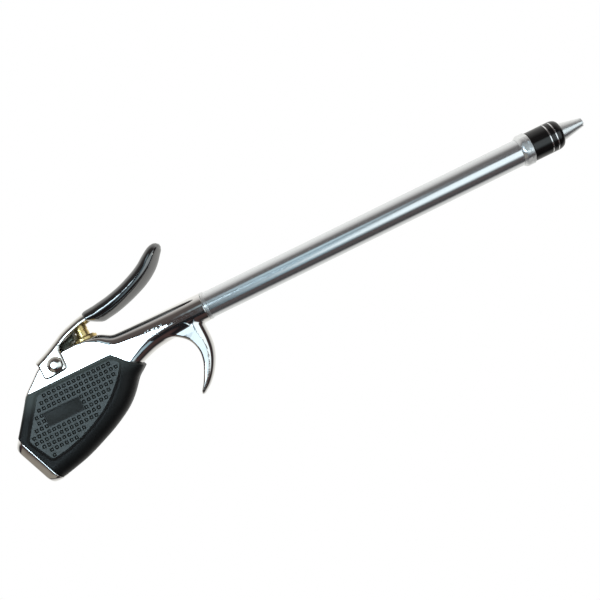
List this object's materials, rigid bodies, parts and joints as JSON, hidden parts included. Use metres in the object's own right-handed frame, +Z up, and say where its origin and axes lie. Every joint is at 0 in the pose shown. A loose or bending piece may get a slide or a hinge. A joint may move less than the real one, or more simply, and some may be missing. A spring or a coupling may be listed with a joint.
{
  "type": "pneumatic air duster",
  "caption": "Lever-operated compressed-air duster: cast handle with rubber grip and hook, thumb lever, long straight barrel and turning nozzle.",
  "frame": {"origin": "middle of the air inlet's mouth, in the foot of the handle", "axes": "+X along the barrel towards the nozzle, +Z up towards the thumb lever, Y across the handle"},
  "size_m": [0.4487, 0.027, 0.1191],
  "materials": {
    "chrome_casting": "mirror",
    "grip_rubber": "satin",
    "plated_steel": "polished",
    "black_vinyl": "gloss",
    "brass": "satin",
    "seal_rubber": "matte",
    "spring_steel": "satin",
    "satin_aluminium": "satin",
    "black_anodised": "satin",
    "fibre": "matte"
  },
  "bodies": {
    "handle": {"handle_casting": "chrome_casting", "rubber_grip": "grip_rubber", "inlet_bush": "brass", "inlet_seal": "fibre", "pivot_rivet": "plated_steel", "valve_body": "brass", "valve_body_oring_upper": "seal_rubber", "valve_body_oring_lower": "seal_rubber", "valve_spring": "spring_steel", "barrel_tube": "satin_aluminium", "barrel_ferrule": "plated_steel", "barrel_oring": "seal_rubber", "nozzle_collar": "satin_aluminium", "collar_oring": "seal_rubber", "spindle_oring": "seal_rubber", "nozzle_circlip": "spring_steel"},
    "thumb_lever": {"lever": "plated_steel", "lever_sleeve": "black_vinyl"},
    "plunger": {"valve_plunger": "brass", "plunger_oring": "seal_rubber", "poppet_seal": "seal_rubber", "poppet": "brass", "poppet_nut": "plated_steel"},
    "nozzle": {"nozzle_sleeve": "black_anodised", "nozzle_tip": "satin_aluminium"}
  },
  "joints": [
    {"name": "lever_press", "type": "hinge", "parent": "handle", "child": "thumb_lever", "pos_m": [0.0434, 0, 0.0578], "axis": [0, 1, 0], "range_deg": [0, 10], "stiffness_Nm_per_rad": 2, "springref_deg": -7.45},
    {"name": "plunger_slide", "type": "slide", "parent": "handle", "child": "plunger", "axis": [0, 0, -1], "range_m": [0, 0.0046], "deforming": ["valve_spring"]},
    {"name": "nozzle_turn", "type": "hinge", "parent": "handle", "child": "nozzle", "pos_m": [0.4025, 0, 0.049], "axis": [1, 0, 0], "range_deg": [0, 270]}
  ],
  "couplings": [
    {"joint": "plunger_slide", "follows": "lever_press", "m_per_rad": 0.0258}
  ]
}
